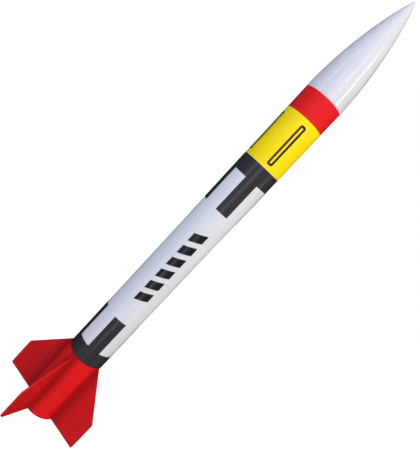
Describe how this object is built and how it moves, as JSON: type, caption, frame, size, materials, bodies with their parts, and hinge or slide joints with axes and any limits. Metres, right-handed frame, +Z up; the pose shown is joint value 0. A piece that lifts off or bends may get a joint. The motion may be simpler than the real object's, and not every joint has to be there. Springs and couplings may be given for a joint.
{
  "type": "model rocket",
  "caption": "Slim single-stage model rocket standing on its tail: paper body tube with paint bands and bar trim, flat trapezoid fins, pull-off ogive nose cone, hooked motor mount.",
  "frame": {"origin": "on the rocket's axis in the tail plane, where the body tube's end and the fins' trailing edges stand", "axes": "+Z up the axis to the nose tip; the fins lie along +X, -X, +Y and -Y"},
  "size_m": [0.1146, 0.1146, 0.5407],
  "materials": {
    "tube_paint": "spiral-wound paper tube, sealed and sprayed gloss white with yellow and red bands",
    "fin_paint": "balsa sheet, sealed and sprayed gloss red",
    "lug_paint": "small paper tube, sprayed gloss white",
    "nose_plastic": "polished white moulded plastic",
    "plug_plastic": "white moulded plastic",
    "trim_black": "semi-gloss charcoal self-adhesive vinyl",
    "canopy_film": "thin orange plastic film, folded and rolled",
    "tissue": "soft flame-proofed tissue",
    "kraft_paper": "bare kraft paper tube",
    "fibre_board": "die-cut fibre board",
    "white_paper": "folded and glued white paper",
    "spring_steel": "bright spring steel strip",
    "motor_paper": "wound brown paper casing",
    "clay": "pressed grey clay",
    "black_powder": "pressed black propellant"
  },
  "bodies": {
    "airframe": {"body_tube": "tube_paint", "fin_1": "fin_paint", "fin_2": "fin_paint", "fin_3": "fin_paint", "fin_4": "fin_paint", "launch_lug": "lug_paint", "shock_cord_anchor": "white_paper", "motor_mount_tube": "kraft_paper", "rear_centering_ring": "fibre_board", "front_centering_ring": "fibre_board", "thrust_ring": "kraft_paper", "upper_roll_pattern": "trim_black", "lower_roll_pattern": "trim_black", "slot_mark_1": "trim_black", "slot_mark_2": "trim_black", "slot_mark_3": "trim_black", "slot_mark_4": "trim_black", "side_mark_1": "trim_black", "side_mark_2": "trim_black", "side_mark_3": "trim_black", "side_mark_4": "trim_black", "side_mark_5": "trim_black", "side_mark_6": "trim_black"},
    "nose": {"nose_cone": "nose_plastic", "nose_base_plug": "plug_plastic", "nose_screw_eye": "spring_steel"},
    "canopy": {"packed_canopy": "canopy_film"},
    "wadding": {"recovery_wadding": "tissue"},
    "motor": {"motor_casing": "motor_paper", "motor_nozzle": "clay", "propellant_grain": "black_powder", "delay_charge": "black_powder", "ejection_cap": "clay"},
    "hook": {"motor_hook": "spring_steel"}
  },
  "joints": [
    {"name": "nose_slide", "type": "slide", "parent": "airframe", "child": "nose", "axis": [0, 0, 1], "range_m": [0, 0.15]},
    {"name": "canopy_slide", "type": "slide", "parent": "airframe", "child": "canopy", "axis": [0, 0, 1], "range_m": [0, 0.12]},
    {"name": "wadding_slide", "type": "slide", "parent": "airframe", "child": "wadding", "axis": [0, 0, 1], "range_m": [0, 0.09]},
    {"name": "motor_slide", "type": "slide", "parent": "airframe", "child": "motor", "axis": [0, 0, 1], "range_m": [-0.0008, 0]},
    {"name": "hook_flex", "type": "hinge", "parent": "airframe", "child": "hook", "pos_m": [0.00711, -0.00711, 0.0752], "axis": [-0.7071, -0.7071, 0], "range_deg": [0, 4], "stiffness_Nm_per_rad": 0.76}
  ],
  "couplings": [
    {"joint": "canopy_slide", "follows": "nose_slide", "ratio": 0.8},
    {"joint": "wadding_slide", "follows": "nose_slide", "ratio": 0.6}
  ]
}
